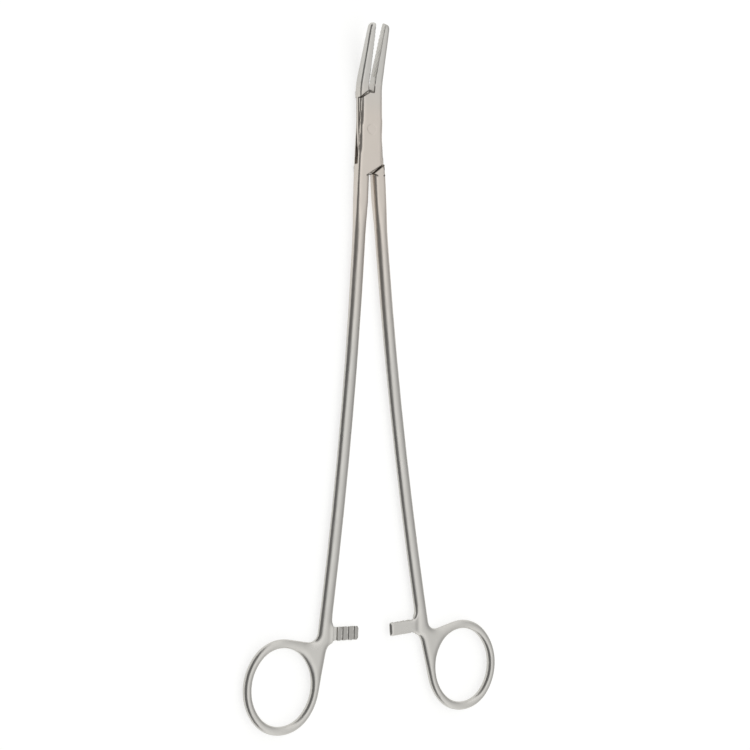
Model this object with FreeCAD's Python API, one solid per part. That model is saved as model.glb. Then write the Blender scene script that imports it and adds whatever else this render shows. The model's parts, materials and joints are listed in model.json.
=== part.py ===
"""Long box-lock needle holder with angled jaws, modelled lying flat.

The X axis points across the instrument, +Y runs along it towards the jaw tips and +Z points out of the
face that looks up.  The origin is on the hinge axis, at the underside of the box.  Both halves start as the
same forged blank, mirrored.  One is slotted to make the box, the other is thinned to a tongue that fills the
slot, and a riveted pin holds them.  Everything is drawn with the jaws closed, and each half is then turned
by half of the opening that the instrument is shown at.
"""
import FreeCAD, Part

import math
import os

from FreeCAD import Vector

# Driving dimensions, in millimetres and degrees

opening_shown = 5.4          # angle between the halves as shown, 0 with the tips closed

# Places along the instrument, from the hinge axis
tip_y = 39.9                 # jaw tips
serration_start_y = 20.5     # where the cross-cut biting face begins
upper_joint_y = 15.2         # shoulder joint above the hinge, on the centre line
lower_joint_y = -17.0        # shoulder joint below the hinge, on the centre line
shoulder_slope = 34.0        # slope of the four shoulder faces
shank_top_y = -28.0          # where the box has narrowed to the shank
shank_low_y = -184.0         # just above the ratchet
ring_y = -214.7              # centre of the finger ring

# Half widths of the closed pair, from the centre line to the outside
jaw_tip_width = 2.3
jaw_root_width = 4.15
jaw_root_y = 18.0
box_top_width = 4.65
box_bottom_width = 5.45

# Thicknesses
box_thickness = 4.7
slot_height = 1.8
jaw_root_thickness = 4.6     # square to the jaw, just past the bend
jaw_tip_thickness = 3.0
handle_thickness = 3.2       # lower shank, ratchet and finger ring

# The jaws bend up out of the plane of the shanks
bend_start_y = 13.2
bend_radius = 20.0           # on the middle plane
jaw_angle = 21.0

# Shank, drawn on the centre line of one shank
shank_width = 5.45
shank_top_x = 2.82
shank_middle_x = 5.6
shank_low_x = 11.8
shank_taper_start_y = -20.0  # the thickness falls from here
shank_taper_end_y = -110.0   # the thickness is constant below this

# Finger ring and the web that joins it to the shank
ring_x = 30.5
ring_across = 14.3           # middle line of the ring, half its size across
ring_along = 16.5
ring_end_narrowing = 1.3     # how much tighter the ends of the oval are than half its shorter size
ring_band = 3.5              # width of the ring's metal, seen from the front
web_inner_x = 11.0
web_inner_y = -197.0
web_inner_blend = 5.0
web_outer_y = -198.8
web_outer_blend = 3.5

# Ratchet
ratchet_y = -195.65          # middle of the bar
ratchet_height = 5.5
ratchet_reach = 2.7          # how far the bar's end passes the centre line when closed
ratchet_root_x = 9.6         # where the toothed layer meets the full thickness
ratchet_blend = 2.5
ratchet_end_round = 1.0
tooth_count = 4
tooth_pitch = 2.5
tooth_height = 0.55
tooth_back = 0.11            # how far the steep side of a tooth leans
first_crest = 2.05           # from the bar's end
tooth_gap = 0.10             # running gap between the two rows of crests

# Rounded edges
outer_round = 0.9            # box and jaws
handle_round = 1.4           # shanks, ratchet and rings
tip_round = 1.8

# Biting faces
tip_gap = 0.03               # from the centre line to the face at the tip, closed
root_gap = 0.22              # the same at the root, so that the tips meet first
relief_depth = 0.25          # the smooth stretch below the serrations, deeper than they are
serration_pitch = 1.1
serration_depth = 0.22
serration_width = 0.99       # of each groove, so that a narrow land stays between two
serration_angle = 45.0       # of each set of grooves, from the jaw's line

# Fits
slide_clearance = 0.04       # between tongue and slot, each side
shoulder_clearance = 0.05
shank_clearance = 0.12       # from the centre line to the shank's inner side, below the box
pin_diameter = 3.2
pin_clearance = 0.03         # radial, in the tongue
rivet_head_diameter = 3.9
rivet_head_depth = 0.35

middle_z = box_thickness / 2
shank_middle_y = (shank_top_y + shank_low_y) / 2
slope = math.tan(math.radians(shoulder_slope))
tiny = 0.001
far = 2 * (ring_x + ring_across)      # reach of the drawing prisms and cutting shapes, past everything


def at(x, y):
    return Vector(x, y, 0)


def line(start, end):
    return Part.LineSegment(start, end).toShape()


def outline(points):
    return [line(a, b) for a, b in zip(points, points[1:] + points[:1])]


def prism(edges):
    """Upright prism over a closed outline in the XY plane, reaching far above and below it."""
    face = Part.Face(Part.Wire(Part.__sortEdges__(edges)))
    face.translate(Vector(0, 0, -far))
    return face.extrude(Vector(0, 0, 2 * far))


def end_tangent(points):
    """Direction of the arc through three points, at its last point."""
    curve = Part.Arc(*points)
    return curve.tangent(curve.LastParameter)[0]


def tangent_arc(start, direction, end):
    """Arc from start, leaving in the given direction, to end."""
    chord = end - start
    rise = direction - chord * (direction.dot(chord) / chord.dot(chord))
    angle = direction.getAngle(chord)
    middle = (start + end) / 2 + rise.normalize() * (chord.Length / 2 * math.tan(angle / 2))
    return Part.Arc(start, middle, end).toShape()


def shoulder_y(joint_y, sign, x):
    """Height at x of a shoulder face, rising (+1) or falling (-1) across the centre line."""
    return joint_y + sign * slope * x


def biting_x(y):
    """Distance of the biting face from the centre line, growing from the tip to the root."""
    share = (tip_y - y) / (tip_y - upper_joint_y)
    return tip_gap + share * (root_gap - tip_gap)


def shank_side(side):
    """Three points down the shank's outer (+1) or inner (-1) side."""
    shift = side * shank_width / 2
    top_x = shank_top_x + shift if side > 0 else shank_clearance
    return [at(top_x, shank_top_y), at(shank_middle_x + shift, shank_middle_y),
            at(shank_low_x + shift, shank_low_y)]


def shank_foot(side, y):
    """Where the shank's outer (+1) or inner (-1) side, run on straight, comes down to height y."""
    points = shank_side(side)
    down = end_tangent(points)
    return points[2] + down * ((y - shank_low_y) / down.y)


def body_plan():
    """Jaw on -X, box, and shank on +X, as one outline with the jaws closed."""
    outer = shank_side(1)
    inner = shank_side(-1)
    outer_foot = shank_foot(1, web_outer_y)
    inner_foot = shank_foot(-1, web_inner_y)

    right_end = at(box_top_width, shoulder_y(upper_joint_y, -1, box_top_width))
    left_end = at(-box_bottom_width, shoulder_y(lower_joint_y, -1, -box_bottom_width))
    crotch = at(shank_clearance, shoulder_y(lower_joint_y, -1, shank_clearance))
    jaw_root = at(-jaw_root_width, jaw_root_y)
    beyond_tip = at(-jaw_tip_width, tip_y + jaw_tip_thickness)
    root_x = -biting_x(upper_joint_y)
    bite_root = at(root_x, shoulder_y(upper_joint_y, -1, root_x))
    bite_tip = at(-biting_x(beyond_tip.y), beyond_tip.y)
    return [
        line(outer_foot, outer[2]), Part.Arc(*outer).toShape(),
        tangent_arc(outer[0], end_tangent(outer[::-1]), right_end),
        line(right_end, bite_root), line(bite_root, bite_tip),
        line(bite_tip, beyond_tip), line(beyond_tip, jaw_root),
        tangent_arc(jaw_root, jaw_root - beyond_tip, left_end),
        line(left_end, crotch), line(crotch, inner[0]), Part.Arc(*inner).toShape(),
        line(inner[2], inner_foot), line(inner_foot, outer_foot)]


def ring_arcs():
    """Centre, radius and middle direction of the four arcs of the ring's middle line, as an oval."""
    longer = max(ring_across, ring_along)
    shorter = min(ring_across, ring_along)
    end_radius = shorter - ring_end_narrowing
    end_shift = longer - end_radius
    side_radius = (shorter ** 2 + end_shift ** 2 - end_radius ** 2) / (2 * ring_end_narrowing)
    side_shift = shorter - side_radius
    along = at(0, 1) if ring_along >= ring_across else at(1, 0)
    across = at(along.y, -along.x)
    centre = at(ring_x, ring_y)
    arcs = []
    for sign in (1, -1):
        arcs.append((centre + along * (sign * end_shift), end_radius, along * sign))
        arcs.append((centre + across * (sign * side_shift), side_radius, across * sign))
    return arcs


def ring_outline(grow):
    """Closed oval parallel to the ring's middle line, outside (+) or inside (-) it."""
    arcs = ring_arcs()
    joints = [end[0] + (end[0] - side[0]).normalize() * (end[1] + grow)
              for end, side in ((arcs[0], arcs[1]), (arcs[2], arcs[1]), (arcs[2], arcs[3]), (arcs[0], arcs[3]))]
    edges = []
    for number, (centre, radius, direction) in enumerate(arcs):
        start = joints[number - 1]
        end = joints[number]
        edges.append(Part.Arc(start, centre + direction * (radius + grow), end).toShape())
    return edges


def ring_tangent(start, turn):
    """Where a line from start touches the ring's outside, on the side given by turn."""
    touches = []
    for centre, radius, direction in ring_arcs():
        outer = radius + ring_band / 2
        away = start - centre
        angle = math.atan2(away.y, away.x) + turn * math.acos(min(1, outer / away.Length))
        touches.append(centre + at(outer * math.cos(angle), outer * math.sin(angle)))
    ring = Part.Wire(Part.__sortEdges__(ring_outline(ring_band / 2)))
    return min(touches, key=lambda point: Part.Vertex(point).distToShape(ring)[0])


def middle_of(edge):
    return edge.valueAt((edge.FirstParameter + edge.LastParameter) / 2)


def is_upright(edge):
    start = edge.valueAt(edge.FirstParameter)
    end = edge.valueAt(edge.LastParameter)
    return edge.Length > far and math.hypot(end.x - start.x, end.y - start.y) < tiny


def round_uprights(solid, corners):
    """Fillet the upright edge that stands nearest to each corner (x, y, radius)."""
    for x, y, radius in corners:
        nearest = min(filter(is_upright, solid.Edges), key=lambda edge: (middle_of(edge) - at(x, y)).Length)
        solid = solid.makeFillet(radius, [nearest])
    return solid


def front_view_prism():
    """The half as seen from the front, shank on +X and jaws closed, as an upright prism."""
    bar_low = ratchet_y - ratchet_height / 2
    bar_high = ratchet_y + ratchet_height / 2
    outer_foot = shank_foot(1, web_outer_y)
    web_inner = at(web_inner_x, web_inner_y)
    web = prism(outline([
        at(shank_low_x, shank_low_y), web_inner, ring_tangent(web_inner, 1), at(ring_x, ring_y),
        ring_tangent(outer_foot, -1), outer_foot]))
    bar = prism(outline([
        at(-ratchet_reach, bar_low), at(shank_low_x, bar_low), at(shank_low_x, bar_high),
        at(-ratchet_reach, bar_high)]))
    disc = prism(ring_outline(ring_band / 2))
    solid = prism(body_plan()).fuse([web, bar, disc]).removeSplitter()
    inner_shank = shank_foot(-1, bar_high)
    solid = round_uprights(solid, [
        (outer_foot.x, outer_foot.y, web_outer_blend),
        (web_inner_x, bar_low, web_inner_blend),
        (inner_shank.x, inner_shank.y, ratchet_blend),
        (-ratchet_reach, bar_low, ratchet_end_round),
        (-ratchet_reach, bar_high, ratchet_end_round)])
    return solid.cut(prism(ring_outline(-ring_band / 2)))


def side_point(y, z):
    return Vector(0, y, z)


jaw_radians = math.radians(jaw_angle)
jaw_along = Vector(0, math.cos(jaw_radians), math.sin(jaw_radians))
jaw_square = Vector(0, -math.sin(jaw_radians), math.cos(jaw_radians))
bend_centre = side_point(bend_start_y, middle_z + bend_radius)
bend_end = bend_centre - jaw_square * bend_radius
jaw_tip = bend_end + jaw_along * ((tip_y - bend_end.y) / math.cos(jaw_radians))


def side_view_line(sign):
    """Front (+1) or back (-1) of the half seen from the side, from the ring to the jaw tip."""
    handle_z = middle_z + sign * handle_thickness / 2
    box_z = middle_z + sign * box_thickness / 2
    bend_start = side_point(bend_start_y, box_z)
    root = bend_end + jaw_square * (sign * jaw_root_thickness / 2)
    half_turn = Vector(0, math.sin(jaw_radians / 2), -math.cos(jaw_radians / 2))
    mean_half_thickness = (box_thickness + jaw_root_thickness) / 4
    half_way = bend_centre + half_turn * (bend_radius - sign * mean_half_thickness)
    return [
        line(side_point(ring_y - ring_along - ring_band, handle_z),
             side_point(shank_taper_end_y, handle_z)),
        line(side_point(shank_taper_end_y, handle_z), side_point(shank_taper_start_y, box_z)),
        line(side_point(shank_taper_start_y, box_z), bend_start),
        Part.Arc(bend_start, half_way, root).toShape(),
        line(root, jaw_tip + jaw_square * (sign * jaw_tip_thickness / 2))]


def side_view_prism():
    """The half as seen from the side: straight shank, box, and jaw bent up, as a prism along X."""
    front = side_view_line(1)
    back = side_view_line(-1)
    ring_end = line(front[0].valueAt(front[0].FirstParameter), back[0].valueAt(back[0].FirstParameter))
    tip_end = line(front[-1].valueAt(front[-1].LastParameter), back[-1].valueAt(back[-1].LastParameter))
    face = Part.Face(Part.Wire(Part.__sortEdges__(front + back + [ring_end, tip_end])))
    face.translate(Vector(-far, 0, 0))
    return face.extrude(Vector(2 * far, 0, 0))


def joins_wall_to_rim(solid, edge):
    """True where an edge lies between an upright wall and the front or the back."""
    middle = middle_of(edge)
    tilts = sorted(abs(face.normalAt(*face.Surface.parameter(middle)).z)
                   for face in solid.ancestorsOfType(edge, Part.Face))
    return len(tilts) == 2 and tilts[0] < 0.5 and tilts[1] > 0.9


def stays_sharp(point):
    """True on the biting face and on the ends of the tongue, which are milled later."""
    margin = root_gap + shoulder_clearance
    on_bite = point.y > upper_joint_y and point.x > -margin
    on_upper = abs(point.y - shoulder_y(upper_joint_y, -1, point.x)) < margin
    on_lower = abs(point.y - shoulder_y(lower_joint_y, -1, point.x)) < margin
    return on_bite or on_upper or on_lower


def rounding_at(point):
    """Radius of the outside edges: small at the box and jaws, growing where the box narrows."""
    if 0 < point.x < shank_top_x:
        return handle_round
    share = (lower_joint_y - point.y) / (lower_joint_y - shank_top_y)
    return outer_round + min(1, max(0, share)) * (handle_round - outer_round)


def round_outside(solid):
    document = FreeCAD.newDocument("blank")
    base = document.addObject("Part::Feature", "base")
    base.Shape = solid
    rounded = document.addObject("Part::Fillet", "rounded")
    rounded.Base = base
    rounded.Edges = [
        (number, rounding_at(edge.valueAt(edge.FirstParameter)),
         rounding_at(edge.valueAt(edge.LastParameter)))
        for number, edge in enumerate(solid.Edges, 1)
        if joins_wall_to_rim(solid, edge) and not stays_sharp(middle_of(edge))]
    document.recompute()
    result = rounded.Shape.copy()
    FreeCAD.closeDocument(document.Name)
    return result.Solids[0]


def forged_blank():
    """One half before any milling: shank on +X, jaw on -X, jaws closed."""
    solid = front_view_prism().common(side_view_prism()).Solids[0]
    corner = jaw_tip - Vector(jaw_tip_width, 0, 0)
    tip_corner = min(solid.Edges, key=lambda edge: (middle_of(edge) - corner).Length)
    return round_outside(solid.makeFillet(tip_round, [tip_corner]))


def slab(low_z, high_z):
    """Everything of the box and jaws between two heights."""
    return Part.makeBox(2 * far, 2 * far, high_z - low_z, Vector(-far, -far, low_z))


def joint_band(sign):
    """Prism between the lower and the upper joint, both ends rising (+1) or falling (-1) towards +X."""
    shift = shoulder_clearance / math.cos(math.radians(shoulder_slope))
    low = lower_joint_y - shift
    high = upper_joint_y + shift
    return prism(outline([
        at(-far, shoulder_y(low, sign, -far)), at(far, shoulder_y(low, sign, far)),
        at(far, shoulder_y(high, sign, far)), at(-far, shoulder_y(high, sign, -far))]))


def slot():
    """The space milled through the box half."""
    return joint_band(-1).common(slab(middle_z - slot_height / 2, middle_z + slot_height / 2))


def cheek_spaces():
    """What is milled off the front and the back of the other half, to leave its tongue."""
    half_tongue = slot_height / 2 - slide_clearance
    band = joint_band(1)
    return [band.common(slab(-far, middle_z - half_tongue)),
            band.common(slab(middle_z + half_tongue, far))]


def ratchet_space():
    """What is milled off the back of the ratchet bar that points to -X, to leave its saw teeth."""
    crest = middle_z + tooth_gap / 2
    valley = crest + tooth_height
    end_x = -ratchet_reach
    profile = [(end_x, valley)]
    for number in range(tooth_count):
        crest_x = end_x + first_crest + number * tooth_pitch
        profile += [(crest_x, crest), (crest_x + tooth_back, valley)]
    profile += [(ratchet_root_x, valley), (ratchet_root_x, -far), (end_x - tooth_pitch, -far),
                (end_x - tooth_pitch, valley)]
    low_y = ratchet_y - ratchet_height / 2 - web_inner_blend
    high_y = ratchet_y + ratchet_height / 2 + ratchet_blend
    points = [Vector(x, low_y, z) for x, z in profile]
    face = Part.Face(Part.Wire(outline(points)))
    return face.extrude(Vector(0, high_y - low_y, 0))


def face_frame():
    """Places shapes drawn on the XY plane onto the biting face: X along the jaw, Z out of the face."""
    lean = math.atan2(root_gap - tip_gap, tip_y - upper_joint_y)
    out = Vector(math.cos(lean), -math.sin(lean), 0)
    up = Vector(0, 0, 1)
    flat = up.cross(out)
    along = flat * math.cos(jaw_radians) + up * math.sin(jaw_radians)
    square = out.cross(along)
    origin = jaw_tip - Vector(tip_gap, 0, 0)
    return FreeCAD.Placement(FreeCAD.Matrix(
        along.x, square.x, out.x, origin.x,
        along.y, square.y, out.y, origin.y,
        along.z, square.z, out.z, origin.z,
        0, 0, 0, 1))


def serration_grooves():
    """Two crossed sets of V grooves over the biting face, from its start to past the tip."""
    length = (tip_y - serration_start_y) / math.cos(jaw_radians)
    reach = length + 2 * box_thickness
    groove = Part.Face(Part.Wire(outline([
        Vector(-reach / 2, -serration_width, serration_depth), Vector(-reach / 2, 0, -serration_depth),
        Vector(-reach / 2, serration_width, serration_depth)]))).extrude(Vector(reach, 0, 0))
    zone = Part.makeBox(length + box_thickness, 2 * box_thickness, 2 * box_thickness,
                        Vector(-length, -box_thickness, -box_thickness))
    count = int(reach / 2 / serration_pitch)
    cutters = []
    for turn in (-serration_angle, serration_angle):
        for number in range(-count, count + 1):
            cutter = groove.copy()
            cutter.translate(Vector(0, number * serration_pitch, 0))
            cutter.rotate(Vector(), Vector(0, 0, 1), turn)
            cutter.translate(Vector(-length / 2, 0, 0))
            cutters += cutter.common(zone).Solids
    for cutter in cutters:
        cutter.Placement = face_frame().multiply(cutter.Placement)
    return cutters


def relief():
    """The smooth stretch between the shoulder and the serrations, set back from the biting face."""
    foot_y = shoulder_y(upper_joint_y, 1, root_gap + relief_depth)
    start = (foot_y - tip_y) / math.cos(jaw_radians)
    end = (serration_start_y - tip_y) / math.cos(jaw_radians)
    box = Part.makeBox(end - start, 2 * box_thickness, box_thickness,
                       Vector(start, -box_thickness, -relief_depth))
    box.Placement = face_frame().multiply(box.Placement)
    return box


def mirrored(shape):
    return shape.mirror(Vector(), Vector(1, 0, 0))


def pin_bore(clearance):
    return Part.makeCylinder(pin_diameter / 2 + clearance, box_thickness)


def rivet():
    """Pin hammered into a countersink at both ends and ground flush with the box."""
    head = rivet_head_diameter / 2
    shaft = pin_diameter / 2
    lower = Part.makeCone(head, shaft, rivet_head_depth)
    upper = Part.makeCone(shaft, head, rivet_head_depth, Vector(0, 0, box_thickness - rivet_head_depth))
    return pin_bore(0).fuse([lower, upper]).removeSplitter()


def flipped_ratchet_space():
    """The same teeth for the other half, whose bar points to +X and is cut from the front."""
    space = ratchet_space()
    space.rotate(Vector(0, 0, middle_z), Vector(0, 1, 0), 180)
    return space


def make_tongue_half(blank):
    """The half that passes through the box: thinned to a tongue between its shoulders."""
    spaces = cheek_spaces() + serration_grooves()
    return blank.cut(spaces + [ratchet_space(), relief(), pin_bore(pin_clearance)])


def make_box_half(blank):
    """The half that carries the box: slotted for the tongue, bored and countersunk for the rivet."""
    spaces = [mirrored(space) for space in serration_grooves() + [relief()]]
    return mirrored(blank).cut(spaces + [slot(), flipped_ratchet_space(), rivet()])


def export(name, shape, angle):
    """Turn a part about the hinge and write it as one STEP file."""
    solid = shape.Solids[0].copy()
    solid.rotate(Vector(), Vector(0, 0, 1), angle)
    print(name, "valid" if solid.isValid() else "NOT VALID", "solids", len(shape.Solids),
          "volume %.1f mm3" % solid.Volume)
    solid.exportStep("parts/%s.step" % name)


os.makedirs("parts", exist_ok=True)
blank = forged_blank()
export("box_half", make_box_half(blank), -opening_shown / 2)
export("tongue_half", make_tongue_half(blank), opening_shown / 2)
export("pivot_pin", rivet(), -opening_shown / 2)
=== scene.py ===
# %% [markdown]
# # A surgical needle holder in Blender
#
# The object is a long needle holder of satin stainless steel that lies open on a white table.  It is two
# forged halves that cross in a box lock, and a riveted pin.  The sizes come from the CAD frame, which is
# loaded first.  Blender adds what a drawing leaves out: the softly ground skin of a forging, the steel, the
# light of a product photograph and the camera.

# %% Load the frame
import json
import math

import bmesh
import bpy
from mathutils import Matrix, Vector
from mathutils.kdtree import KDTree

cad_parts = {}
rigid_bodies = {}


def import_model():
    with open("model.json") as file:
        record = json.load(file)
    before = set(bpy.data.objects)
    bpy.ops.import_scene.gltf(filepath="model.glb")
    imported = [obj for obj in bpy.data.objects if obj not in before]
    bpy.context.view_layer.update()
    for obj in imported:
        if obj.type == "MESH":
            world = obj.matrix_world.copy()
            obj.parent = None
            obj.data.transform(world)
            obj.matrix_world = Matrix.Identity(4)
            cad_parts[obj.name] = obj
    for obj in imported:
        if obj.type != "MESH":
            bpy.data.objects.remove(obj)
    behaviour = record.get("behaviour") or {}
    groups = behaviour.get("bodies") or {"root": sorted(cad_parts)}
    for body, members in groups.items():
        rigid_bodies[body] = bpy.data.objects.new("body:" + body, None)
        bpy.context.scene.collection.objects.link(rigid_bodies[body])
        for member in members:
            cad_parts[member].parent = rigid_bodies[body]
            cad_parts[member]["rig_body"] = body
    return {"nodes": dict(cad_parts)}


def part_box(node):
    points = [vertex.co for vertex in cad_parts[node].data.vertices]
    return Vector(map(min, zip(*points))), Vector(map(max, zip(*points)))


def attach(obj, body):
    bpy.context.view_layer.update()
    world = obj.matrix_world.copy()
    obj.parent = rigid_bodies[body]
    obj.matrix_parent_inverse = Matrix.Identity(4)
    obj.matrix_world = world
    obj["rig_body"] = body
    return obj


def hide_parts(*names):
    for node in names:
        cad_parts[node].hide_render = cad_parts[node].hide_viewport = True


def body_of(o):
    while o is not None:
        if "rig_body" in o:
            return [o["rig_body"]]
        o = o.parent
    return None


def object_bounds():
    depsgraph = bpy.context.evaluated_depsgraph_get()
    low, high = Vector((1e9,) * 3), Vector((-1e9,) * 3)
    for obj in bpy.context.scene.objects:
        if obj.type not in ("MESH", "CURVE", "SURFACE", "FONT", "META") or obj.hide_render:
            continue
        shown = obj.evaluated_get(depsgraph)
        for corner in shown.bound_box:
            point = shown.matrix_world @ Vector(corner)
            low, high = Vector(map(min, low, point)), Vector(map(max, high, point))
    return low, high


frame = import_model()
cad_box = [list(corner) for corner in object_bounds()]
scene = bpy.context.scene
mm = 0.001
box_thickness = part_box("pivot_pin")[1].z
middle_z = box_thickness / 2
print("nodes", sorted(frame["nodes"]), "box thickness %.2f mm" % (box_thickness / mm))

# %% [markdown]
# ## The camera
#
# A product photographer stands a little to the left of the instrument and looks down at it.  The view is
# described by angles round the point that the camera aims at, because angles are easier to compare with a
# photograph than coordinates are: how far the camera leans to the left of straight above, how far it leans
# towards the jaws, and how far the picture is rolled.  The focal length is given in pixels of the 750 pixel
# picture, which Blender wants as millimetres on its 36 mm sensor.

# %% Camera
picture_size = 750
sensor_width = 36.0
lean_left = math.radians(30.0)
lean_forward = math.radians(0.52)
roll = math.radians(-0.56)
camera_distance = 608.5 * mm
focal_length_pixels = 1557.7
aim = Vector((1.6 * mm, -95.5 * mm, middle_z))


def camera_axes():
    """Right, up and backward directions of the camera."""
    back = Vector((-math.sin(lean_left) * math.cos(lean_forward), math.sin(lean_forward),
                   math.cos(lean_left) * math.cos(lean_forward)))
    right = Vector((0, 1, 0)).cross(back).normalized()
    up = back.cross(right)
    rolled_right = right * math.cos(roll) + up * math.sin(roll)
    return rolled_right, back.cross(rolled_right), back


right, up, back = camera_axes()
camera_data = bpy.data.cameras.new("camera")
camera_data.sensor_width = sensor_width
camera_data.lens = focal_length_pixels / picture_size * sensor_width
camera_data.clip_start = 10 * mm
camera = bpy.data.objects.new("camera", camera_data)
scene.collection.objects.link(camera)
turn = Matrix((right, up, back)).transposed().to_4x4()
camera.matrix_world = Matrix.Translation(aim + back * camera_distance) @ turn
scene.camera = camera
print("lens %.2f mm" % camera_data.lens)

# %% [markdown]
# ## Colours
#
# Blender's shaders want linear light, and colours picked from a screen are sRGB.  One small function turns
# a hex colour into linear numbers, so that every colour below can be written as on a colour picker.

# %% Colour helper


def linear(hex_colour):
    """Linear RGBA from an sRGB colour such as c8c4bd."""
    channels = [int(hex_colour[i:i + 2], 16) / 255 for i in (0, 2, 4)]
    return [c / 12.92 if c <= 0.04045 else ((c + 0.055) / 1.055) ** 2.4 for c in channels] + [1.0]


steel_colour = linear("cbc9c4")
# painted warm reflection: the box is tinted warmer with this colour
warm_reflection_colour = linear("d5cdc4")
# oil and painted shade: the dark line along the joint of the box lock
oil_and_shade_colour = linear("4a4640")
table_colour = linear("b4b4b2")
white = (1, 1, 1, 1)
print("steel", [round(c, 3) for c in steel_colour])

# %% [markdown]
# ## Nodes
#
# A material is a tree of nodes.  It could be put together by hand in the shader editor.  A script needs two
# things again and again, so each gets a function: an empty tree to start from, and a node with its settings
# and its links.

# %% Node helpers


def empty_material(name):
    """A new material and its node tree, with nothing in it."""
    made = bpy.data.materials.new(name)
    made.use_nodes = True
    made.node_tree.nodes.clear()
    return made, made.node_tree


def add_node(tree, kind, settings=None, links=None, operation=None):
    """Add a shader node, set its input sockets, and link others to them."""
    node = tree.nodes.new(kind)
    if operation:
        node.operation = operation
    for name, value in (settings or {}).items():
        node.inputs[name].default_value = value
    for name, output in (links or {}).items():
        tree.links.new(output, node.inputs[name])
    return node


# %% [markdown]
# ## The white table
#
# The instrument lies on a white table that fills the picture.  A sheet of paper would do it in a studio, lit
# until it is white.  More light would also bleach the steel, though.  So the table's own colour is a plain
# light grey, which keeps the shadow under the instrument, and its material adds a glow for two kinds of ray
# only: those that come from the camera, and those that the steel mirrors.  It is white in the picture and in
# the reflections, and lights nothing.

# %% Table
table_half_size = 3.0
table_gap = 0.02 * mm         # under the instrument, so that the two surfaces don't flicker
table_glow = 0.72


def seen_directly_or_mirrored(tree):
    """1 for rays from the camera and from glossy surfaces, 0 for the rest."""
    path = add_node(tree, "ShaderNodeLightPath").outputs
    either = add_node(tree, "ShaderNodeMath", operation="MAXIMUM",
                      links={0: path["Is Camera Ray"], 1: path["Is Glossy Ray"]})
    return either.outputs["Value"]


def table_material():
    """Matt white laminate: hardly any gloss, so no highlight shows on it."""
    made, tree = empty_material("matt white laminate")
    glow = add_node(tree, "ShaderNodeMath", {1: table_glow}, {0: seen_directly_or_mirrored(tree)},
                    "MULTIPLY")
    shader = add_node(tree, "ShaderNodeBsdfPrincipled",
                      {"Base Color": table_colour, "Roughness": 0.9, "Specular IOR Level": 0.1,
                       "Emission Color": white}, {"Emission Strength": glow.outputs["Value"]})
    add_node(tree, "ShaderNodeOutputMaterial", links={"Surface": shader.outputs["BSDF"]})
    return made


def make_table():
    """A large square under the instrument."""
    mesh = bpy.data.meshes.new("table")
    made = bmesh.new()
    bmesh.ops.create_grid(made, x_segments=1, y_segments=1, size=table_half_size)
    made.to_mesh(mesh)
    made.free()
    mesh.materials.append(table_material())
    table = bpy.data.objects.new("floor", mesh)
    scene.collection.objects.link(table)
    return table


table = make_table()
table.location.z = cad_box[0][2] - table_gap
print("table at %.3f mm" % (table.location.z / mm))

# %% [markdown]
# ## The tent of light
#
# Satin steel has hardly a colour of its own: it shows what is round it.  Lamps would leave small bright
# spots in it.  So the light is built as a studio builds it for metal, as a tent of white cloth, which is lit
# from overhead, gets darker towards the right, and is open on the left, where the camera stands.  The steel
# mirrors it: bright along every edge that faces up, fading towards the right, and with a dark line down
# every edge that faces the camera.  The tent is a world whose brightness depends on the direction alone.
# The camera itself sees plain white there.

# %% Tent
tent_tones = (                # place from the left horizon, 0, over the top, 0.5, to the right one, 1
    (0.00, 0.20), (0.22, 0.17), (0.36, 0.24), (0.47, 1.15), (0.56, 1.18), (0.75, 0.90), (0.93, 0.57),
    (1.00, 0.36))


def fill_ramp(ramp, tones, brightest):
    """Give a colour ramp one mark for each tone, with the brightest as white."""
    ramp.interpolation = "EASE"
    while len(ramp.elements) < len(tones):
        ramp.elements.new(0.5)
    for mark, (place, tone) in zip(ramp.elements, tones):
        mark.position = place
        mark.color = [tone / brightest] * 3 + [1]


def tent_of_light():
    """A world whose brightness runs from the left to the right, as a lit tent of cloth does."""
    world = bpy.data.worlds.new("tent")
    world.use_nodes = True
    tree = world.node_tree
    tree.nodes.clear()
    direction = add_node(tree, "ShaderNodeTexCoord").outputs["Generated"]
    sideways = add_node(tree, "ShaderNodeSeparateXYZ", links={"Vector": direction}).outputs["X"]
    place = add_node(tree, "ShaderNodeMapRange", {"From Min": -1.0, "From Max": 1.0},
                     {"Value": sideways})
    tones = add_node(tree, "ShaderNodeValToRGB", links={"Fac": place.outputs["Result"]})
    brightest = max(tone for place, tone in tent_tones)
    fill_ramp(tones.color_ramp, tent_tones, brightest)
    light = add_node(tree, "ShaderNodeBackground", {"Strength": brightest},
                     {"Color": tones.outputs["Color"]})
    backdrop = add_node(tree, "ShaderNodeBackground", {"Color": white, "Strength": 1.0})
    camera_ray = add_node(tree, "ShaderNodeLightPath").outputs["Is Camera Ray"]
    either = add_node(tree, "ShaderNodeMixShader",
                      links={0: camera_ray, 1: light.outputs["Background"],
                             2: backdrop.outputs["Background"]})
    add_node(tree, "ShaderNodeOutputWorld", links={"Surface": either.outputs["Shader"]})
    return world


scene.world = tent_of_light()
scene.view_settings.view_transform = "Standard"
print("tent tones", len(tent_tones))
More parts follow.
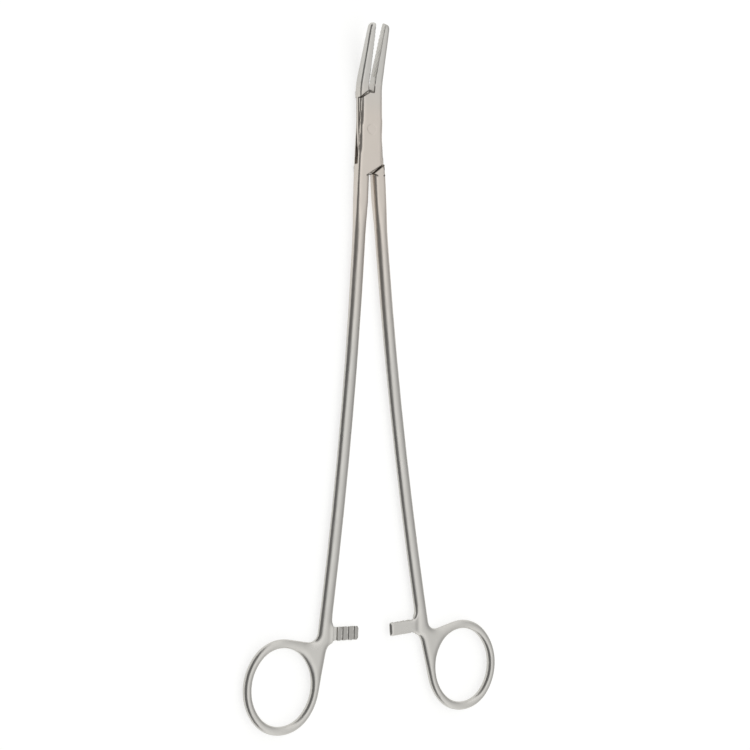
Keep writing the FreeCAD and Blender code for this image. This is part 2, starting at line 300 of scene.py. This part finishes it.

# %% [markdown]
# ## Satin stainless steel
#
# The instrument is blasted with glass beads and lightly brushed, so that it doesn't dazzle the surgeon.
# That is a metal with a middling roughness.  A picture of scratches could be laid over it, but it would
# stretch round the rings.  A faint noise in the roughness, and a very shallow bump stretched along the
# instrument, break the reflections up as the brushing does, at any place.  Both patterns are scaled from
# real millimetres, so they stay the same size on every piece.
#
# Two more things are painted into the steel's colour.  The box is tinted a little warmer, as a painted warm
# reflection.  And a dark line runs along the joint of the box lock, partly oil and partly painted shade.  The
# line follows an attribute that the halves carry, which is made further down.

# %% Steel
brush_spacing = 0.25          # mm across the brushing; the real 0.05 mm is too fine to show
brush_stretch = 12.0          # how much longer than wide a brush mark is
brush_depth = 0.02 * mm
cloud_spacing = 20 / 3        # mm, the size of the patches in which the gloss differs a little
# the painted warm reflection on the box fades in and out along the instrument
warm_reflection_from = (-90 * mm, -30 * mm)    # the warm tone comes in from the shanks to the box
warm_reflection_to = (5 * mm, 20 * mm)      # and goes out from the box to the jaws


def per_metre(spacing):
    """A noise texture's scale from a spacing in millimetres."""
    return 1000 / spacing


def mixed_colour(tree, share, first, second):
    """A mix of two colours, each given as numbers or as the output of another node."""
    mix = tree.nodes.new("ShaderNodeMix")
    mix.data_type = "RGBA"
    tree.links.new(share, mix.inputs["Factor"])
    for socket, colour in ((mix.inputs[6], first), (mix.inputs[7], second)):
        if isinstance(colour, list):
            socket.default_value = colour
        else:
            tree.links.new(colour, socket)
    return mix.outputs[2]


def painted_warm_reflection_share(tree, place):
    """Share of the painted warm reflection: 1 on the box, 0 on the shanks and the jaws."""
    along = add_node(tree, "ShaderNodeSeparateXYZ", links={"Vector": place}).outputs["Y"]
    above_shanks = add_node(tree, "ShaderNodeMapRange",
                            {"From Min": warm_reflection_from[0], "From Max": warm_reflection_from[1]}, {"Value": along})
    below_jaws = add_node(tree, "ShaderNodeMapRange",
                          {"From Min": warm_reflection_to[0], "From Max": warm_reflection_to[1],
                           "To Min": 1.0, "To Max": 0.0}, {"Value": along})
    both = add_node(tree, "ShaderNodeMath", operation="MULTIPLY",
                    links={0: above_shanks.outputs["Result"], 1: below_jaws.outputs["Result"]})
    return both.outputs["Value"]


def steel_material():
    """Bead blasted and brushed: broad soft reflections with a faint grain along the instrument."""
    made, tree = empty_material("satin stainless steel")
    place = add_node(tree, "ShaderNodeTexCoord").outputs["Object"]
    across = per_metre(brush_spacing)
    marks = add_node(tree, "ShaderNodeMapping",
                     {"Scale": (across, across / brush_stretch, across)}, {"Vector": place})
    brushing = add_node(tree, "ShaderNodeTexNoise", {"Scale": 1.0, "Detail": 3.0},
                        {"Vector": marks.outputs["Vector"]})
    clouds = add_node(tree, "ShaderNodeTexNoise", {"Scale": per_metre(cloud_spacing), "Detail": 2.0},
                      {"Vector": place})
    roughness = add_node(tree, "ShaderNodeMapRange",
                         {"From Min": 0.3, "From Max": 0.7, "To Min": 0.27, "To Max": 0.36},
                         {"Value": clouds.outputs["Fac"]})
    bump = add_node(tree, "ShaderNodeBump", {"Strength": 0.12, "Distance": brush_depth},
                    {"Height": brushing.outputs["Fac"]})
    # painted warm reflection: the box is tinted warmer than the shanks and the jaws
    steel_before_joint_line = mixed_colour(tree, painted_warm_reflection_share(tree, place), steel_colour, warm_reflection_colour)
    # the dark line along the joint is oil and painted shade in the narrow gap
    joint = add_node(tree, "ShaderNodeAttribute")
    joint.attribute_name = "joint"
    colour = mixed_colour(tree, joint.outputs["Fac"], steel_before_joint_line, oil_and_shade_colour)
    shader = add_node(tree, "ShaderNodeBsdfPrincipled", {"Metallic": 1.0},
                      {"Base Color": colour, "Roughness": roughness.outputs["Result"],
                       "Normal": bump.outputs["Normal"]})
    add_node(tree, "ShaderNodeOutputMaterial", links={"Surface": shader.outputs["BSDF"]})
    return made


steel = steel_material()
print("steel nodes", len(steel.node_tree.nodes))

# %% [markdown]
# ## What stays crisp
#
# The two halves are forged, ground on a belt and tumbled, so most of their skin is soft to the hand.  What
# is milled afterwards stays crisp: the box lock's shoulders and slot, the ratchet teeth and the biting
# faces.  The milled edges could be picked by hand.  The CAD model shows them too, because it leaves them
# sharp, so they are found by the angle between their faces.  Where roundings meet, the CAD model has slivers
# with odd angles.  They are told apart by their width and by where they lie.

# %% Find the milled edges
sharp_angle = math.radians(25)
narrowest = 0.02 * mm         # slivers between rounded faces are narrower than this
weld_distance = 0.0005 * mm
shank_top = -26 * mm          # below this only the ratchet is milled
ratchet_y = -195.6 * mm
ratchet_length = 20 * mm      # of a bar, from the middle of the instrument outwards
ratchet_half_width = 5 * mm
between_shoulders = 11 * mm   # up to here from the hinge the box's outer edges are plain roundings
slot_mouth = 1.05 * mm        # from the middle plane to just above the slot's edge
hinge_reach = 2.4 * mm
point_spacing = 0.2 * mm


def merged_copy(node):
    """The CAD node's mesh with its loose triangles joined, as a bmesh."""
    made = bmesh.new()
    made.from_mesh(node.data)
    bmesh.ops.remove_doubles(made, verts=made.verts, dist=weld_distance)
    return made


def is_milled(edge):
    """True for a sharp edge between two real faces, where something was milled."""
    if len(edge.link_faces) != 2 or edge.calc_face_angle(0) < sharp_angle:
        return False
    if min(face.calc_area() for face in edge.link_faces) < narrowest * edge.calc_length():
        return False
    middle = (edge.verts[0].co + edge.verts[1].co) / 2
    on_ratchet = abs(middle.y - ratchet_y) < ratchet_half_width and abs(middle.x) < ratchet_length
    on_rounding = (abs(middle.y) < between_shoulders and abs(middle.z - middle_z) > slot_mouth
                   and middle.xy.length > hinge_reach)
    return on_ratchet or (middle.y > shank_top and not on_rounding)


def milled_points(made):
    """Points along every milled edge."""
    points = []
    for edge in made.edges:
        if is_milled(edge):
            start, end = (vert.co for vert in edge.verts)
            steps = max(1, math.ceil((end - start).length / point_spacing))
            points += [start.lerp(end, step / steps) for step in range(steps + 1)]
    return points


def tree_of(points):
    """A search tree that finds the nearest of many points quickly."""
    tree = KDTree(len(points))
    for number, point in enumerate(points):
        tree.insert(point, number)
    tree.balance()
    return tree


milled = {}
joint_points = {}
joint_low = -30 * mm          # the box lock's joint lies between these two, outside the hinge
joint_high = 16.5 * mm
for name in ("box_half", "tongue_half"):
    joined = merged_copy(frame["nodes"][name])
    points = milled_points(joined)
    milled[name] = tree_of(points)
    joint_points[name] = tree_of([point for point in points if joint_low < point.y < joint_high
                                  and point.xy.length > hinge_reach])
    print(name, "faces", len(joined.faces), "points on milled edges", len(points))
    joined.free()

# %% [markdown]
# ## An even skin
#
# A CAD mesh is long thin triangles, which can't be bent or smoothed.  One could cut them up by hand, but a
# voxel remesh is quicker: it wraps the half in small even quads.  It is blind to detail that is finer than a
# voxel, so the quads near a milled edge are split once more, and a shrinkwrap then pulls every point back
# onto the exact surface of the CAD model.

# %% Remesh
voxel = 0.32 * mm
detail_reach = 0.3 * mm       # round a milled edge the quads are split, to hold its form


def modifier(obj, kind, **settings):
    made = obj.modifiers.new(kind.lower(), kind)
    for name, value in settings.items():
        setattr(made, name, value)
    return made


def apply_all(obj):
    """Replace an object's mesh by what its modifiers show, and drop them."""
    bpy.context.view_layer.update()
    shown = obj.evaluated_get(bpy.context.evaluated_depsgraph_get())
    mesh = bpy.data.meshes.new_from_object(shown)
    obj.modifiers.clear()
    obj.data = mesh


def split_near(obj, tree, reach):
    """Split the quads that lie near a milled edge."""
    made = bmesh.new()
    made.from_mesh(obj.data)
    near = [edge for edge in made.edges
            if tree.find((edge.verts[0].co + edge.verts[1].co) / 2)[2] < reach]
    bmesh.ops.subdivide_edges(made, edges=near, cuts=1, use_grid_fill=True)
    made.to_mesh(obj.data)
    made.free()


def even_copy(name, title):
    """The CAD node as an object of small quads that lie on its exact surface."""
    joined = merged_copy(frame["nodes"][name])
    mesh = bpy.data.meshes.new(title)
    joined.to_mesh(mesh)
    joined.free()
    half = bpy.data.objects.new(title, mesh)
    scene.collection.objects.link(half)
    exact = half.copy()
    exact.data = mesh.copy()
    scene.collection.objects.link(exact)
    modifier(half, "REMESH", mode="VOXEL", voxel_size=voxel, use_smooth_shade=True)
    apply_all(half)
    split_near(half, milled[name], detail_reach)
    modifier(half, "SHRINKWRAP", target=exact, wrap_method="NEAREST_SURFACEPOINT")
    apply_all(half)
    bpy.data.objects.remove(exact)
    return half


halves = {name: even_copy(name, "forged_" + name) for name in ("box_half", "tongue_half")}
for half in halves.values():
    print(half.name, "triangles", sum(len(face.vertices) - 2 for face in half.data.polygons))

# %% [markdown]
# ## Where the outer walls are
#
# The shanks and rings of the real one are oval in section, where the CAD model has plain rounded edges.  The
# oval at a point depends on how far the point lies from the nearest outer wall, seen from above, and on how
# wide the piece is there.  Upright parts of the surface are the walls.  The steps of the ratchet teeth are
# upright too but don't count, and they lie close to their own sharp edges, so they can be left out.  The
# widest distance that belongs to a stretch of wall is half the width there.

# %% Walls and widths
most_upright = 0.2            # a wall's normal leans up or down by no more than this
tooth_reach = 0.8 * mm
wall_top = -30 * mm           # below this the half is a shank or a ring, above it the box
widest_oval = 2.75 * mm       # half the width of the widest oval on the handles
ring_top = -190 * mm          # above this a handle is a plain shank of one width
ring_blend = 10 * mm
width_window = 0.8 * mm       # stretch of wall over which the half width is looked up


def is_outer_wall(name, point, normal):
    if abs(normal.z) > most_upright:
        return False
    if point.y < wall_top:
        return milled[name].find(point)[2] > tooth_reach
    return abs(normal.y) < 0.5 and point.xy.length > hinge_reach


def ease(value, start, end):
    """0 at start, 1 at end, with a smooth run between them."""
    share = min(1, max(0, (value - start) / (end - start)))
    return share * share * (3 - 2 * share)


def wall_distances(points, normals, name):
    """For each point, the distance to the nearest outer wall and the half width there."""
    walls = [number for number, (point, normal) in enumerate(zip(points, normals))
             if is_outer_wall(name, point, normal)]
    tree = tree_of([Vector((points[number].x, points[number].y, 0)) for number in walls])
    facing = [normals[number].xy.normalized() for number in walls]
    distances = []
    owners = []
    widest = [0.0] * len(walls)
    for point in points:
        place, owner, straight = tree.find((point.x, point.y, 0))
        distance = max(0, (place.xy - point.xy).dot(facing[owner]))
        distances.append(distance)
        owners.append(owner)
        widest[owner] = max(widest[owner], distance)
    widths = []
    for number in walls:
        around = tree.find_range((points[number].x, points[number].y, 0), width_window)
        width = max(widest[owner] for place, owner, straight in around)
        plain = ease(points[number].y, ring_top, ring_top + ring_blend)
        widths.append(plain * widest_oval + (1 - plain) * min(width, widest_oval))
    return distances, [widths[owner] for owner in owners]


print("widest oval %.2f mm" % (2 * widest_oval / mm))

# %% [markdown]
# ## How thick the half is
#
# The instrument tapers in thickness from the box to the handles.  The thickness could be written down again
# here, but then it would have to be kept in step with the CAD model.  So it is measured: the lowest and the
# highest point of every millimetre of the length, and a straight run between two of them.

# %% Thickness
row_length = 1.0 * mm


def thickness_along(points):
    """Middle height and half thickness for each row of the length."""
    low = {}
    high = {}
    for point in points:
        row = round(point.y / row_length)
        low[row] = min(low.get(row, 1), point.z)
        high[row] = max(high.get(row, -1), point.z)
    return {row: ((low[row] + high[row]) / 2, (high[row] - low[row]) / 2) for row in low}


def section_at(rows, y):
    """Middle height and half thickness at y, between the two nearest rows."""
    place = y / row_length
    row = math.floor(place)
    first = rows.get(row, rows.get(row + 1))
    second = rows.get(row + 1, first)
    share = place - row
    return [a + share * (b - a) for a, b in zip(first, second)]


rows = thickness_along([vert.co for vert in halves["box_half"].data.vertices])
for y in (-50 * mm, -150 * mm):
    print("shank at %.0f mm: %.2f mm thick" % (y / mm, 2 * section_at(rows, y)[1] / mm))

# %% [markdown]
# ## Oval shanks and rings
#
# The section of a shank or ring is an ellipse, whose half height is half the thickness there, and whose half
# width is half the width there.  Every point outside it is moved in, against its normal, until it lies on
# it.  The right depth is found by halving: too shallow or too deep is all that has to be known at each step.
# A formula does this better than a sculpting brush.  It keeps the width and the thickness of the CAD model
# exactly, and it flows round the rings and into the webs by itself.  The box, the jaws and the ratchet bars
# stay as they are, and close to a milled edge the ellipse fades out.

# %% Ovals
crisp_reach = 0.6 * mm        # up to here from a milled edge the section keeps the CAD model's form
soft_reach = 1.6 * mm         # from here on it is an oval
deepest = 1.5 * mm
halvings = 12
oval_run = (-42 * mm, -26 * mm)    # the ovals fade out along the top of the shanks
beside_bar = (18 * mm, 20 * mm)    # and towards the ratchet bars, across
below_bar = (5 * mm, 9 * mm)       # and along


def oval_share(point):
    """1 on the shanks and rings, 0 on the box, the jaws and the ratchet bars."""
    along = 1 - ease(point.y, *oval_run)
    beside = max(ease(abs(point.x), *beside_bar), ease(abs(point.y - ratchet_y), *below_bar))
    return along * beside


def softness(tree, point, start, end):
    """0 up to start from a milled edge, 1 from end on."""
    return ease(tree.find(point)[2], start, end)


def outside(distance, width, height, half_thickness):
    """More than 1 outside the ellipse, less inside it."""
    across = max(0, 1 - distance / width)
    return across ** 2 + (height / half_thickness) ** 2


def depth_to_oval(distance, width, height, half_thickness, normal):
    """How far a point has to go in, against its normal, to lie on the ellipse."""
    if width < voxel or outside(distance, width, height, half_thickness) <= 1:
        return 0
    sideways = math.hypot(normal.x, normal.y)
    shallow, deep = 0, deepest
    for halving in range(halvings):
        depth = (shallow + deep) / 2
        place = distance + depth * sideways
        if outside(place, width, height - depth * normal.z, half_thickness) > 1:
            shallow = depth
        else:
            deep = depth
    return shallow


def make_oval(half, name):
    """Move the skin of the handles onto its ellipses, and return the greatest depth."""
    # Blender works all normals out again after each change of a point, so both are copied first.
    points = [vert.co.copy() for vert in half.data.vertices]
    normals = [vert.normal.copy() for vert in half.data.vertices]
    distances, widths = wall_distances(points, normals, name)
    rows = thickness_along(points)
    greatest = 0
    for number, (point, normal) in enumerate(zip(points, normals)):
        share = oval_share(point)
        if share == 0:
            continue
        middle, half_thickness = section_at(rows, point.y)
        depth = depth_to_oval(distances[number], widths[number], point.z - middle, half_thickness,
                              normal)
        depth *= softness(milled[name], point, crisp_reach, soft_reach) * share
        half.data.vertices[number].co = point - normal * depth
        greatest = max(greatest, depth)
    return greatest


for name, half in halves.items():
    print(half.name, "moved in by up to %.2f mm" % (make_oval(half, name) / mm))

# %% [markdown]
# ## Tumbled smooth
#
# After grinding, the halves are tumbled with small stones, which takes the last facets off.  A Smooth
# modifier does the same to a mesh.  It would round the milled edges too, so a vertex group holds them: its
# weight is 0 on a milled edge and 1 away from it.

# %% Smooth the skin
held_reach = 0.15 * mm        # up to here from a milled edge nothing is smoothed
smoothing_steps = 20


def smooth_softly(half, name):
    group = half.vertex_groups.new(name="softness")
    for vert in half.data.vertices:
        group.add([vert.index], softness(milled[name], vert.co, held_reach, crisp_reach), "REPLACE")
    modifier(half, "SMOOTH", factor=0.5, iterations=smoothing_steps, vertex_group="softness")
    apply_all(half)
    half.data.shade_smooth()


for name, half in halves.items():
    smooth_softly(half, name)
    print(half.name, "smoothed", smoothing_steps, "times")

# %% [markdown]
# ## The dark line of the joint: oil and painted shade
#
# Where the tongue goes into the box, oil collects in the narrow gap and shade falls into it, and a thin dark
# line shows.  A line could be modelled as a groove, but the real one has none.  So each point stores how near
# it lies to the edges of the joint, as an attribute, which the steel reads as oil and painted shade.

# %% Mark the joint
oil_and_shade_line = 0.4 * mm         # half the width of the line


def mark_oil_and_shade(half, tree):
    """Store how near each point lies to the joint, for the oil and painted shade: 1 on its edges, 0 away from
    them.
    """
    mark = half.data.attributes.new("joint", "FLOAT", "POINT")
    for vert in half.data.vertices:
        mark.data[vert.index].value = 1 - ease(tree.find(vert.co)[2], oil_and_shade_line / 4, oil_and_shade_line)
    return sum(point.value > 0 for point in mark.data)


for name, half in halves.items():
    print(half.name, "points on the line", mark_oil_and_shade(half, joint_points[name]))

# %% [markdown]
# ## Dress the two halves
#
# Each half takes the steel, hides the CAD node it replaces, and rides on that node's body, so that it swings
# with it.  Moving each by hand for every pose would be the other way, but then the two models could part.

# %% Steel and body
for name, half in halves.items():
    half.data.materials.clear()
    half.data.materials.append(steel)
    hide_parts(name)
    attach(half, body_of(frame["nodes"][name])[0])
    print(half.name, "faces", len(half.data.polygons))

# %% [markdown]
# ## The rivet
#
# The pin is hammered into its countersinks and ground flush, so it barely shows.  It could be remeshed like
# the halves.  The CAD piece already has its form, though, so it only gets the steel.

# %% Rivet
pin = frame["nodes"]["pivot_pin"]
pin.data.materials.clear()
pin.data.materials.append(steel)
print("rivet faces", len(pin.data.polygons))
